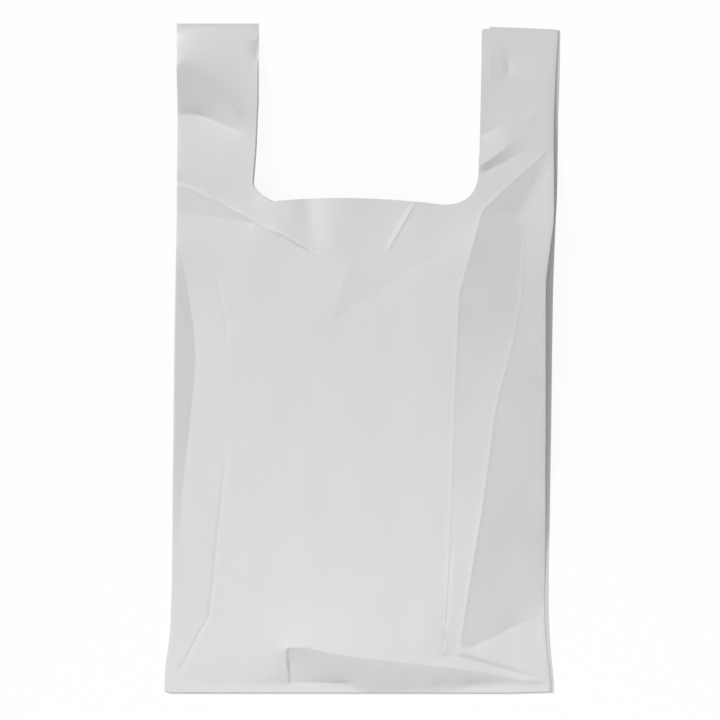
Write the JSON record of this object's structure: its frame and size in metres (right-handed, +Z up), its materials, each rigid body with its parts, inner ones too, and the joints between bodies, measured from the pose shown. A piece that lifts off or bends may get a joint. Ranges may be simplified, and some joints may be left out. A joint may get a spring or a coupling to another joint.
{
  "type": "plastic carrier bag",
  "caption": "Empty vest-style plastic carrier bag with side gussets, lying on its back with the front panel up.",
  "frame": {"origin": "on the surface that the bag lies on, under the middle of its bounding box", "axes": "+Y from the bottom weld towards the tops of the handles, +X towards the right handle as the front panel is looked at with the handles at the top, +Z up, out of the front panel"},
  "size_m": [0.3144, 0.533, 0.024],
  "materials": {
    "film": "satin"
  },
  "bodies": {
    "root": {"bag": "film"}
  },
  "joints": []
}
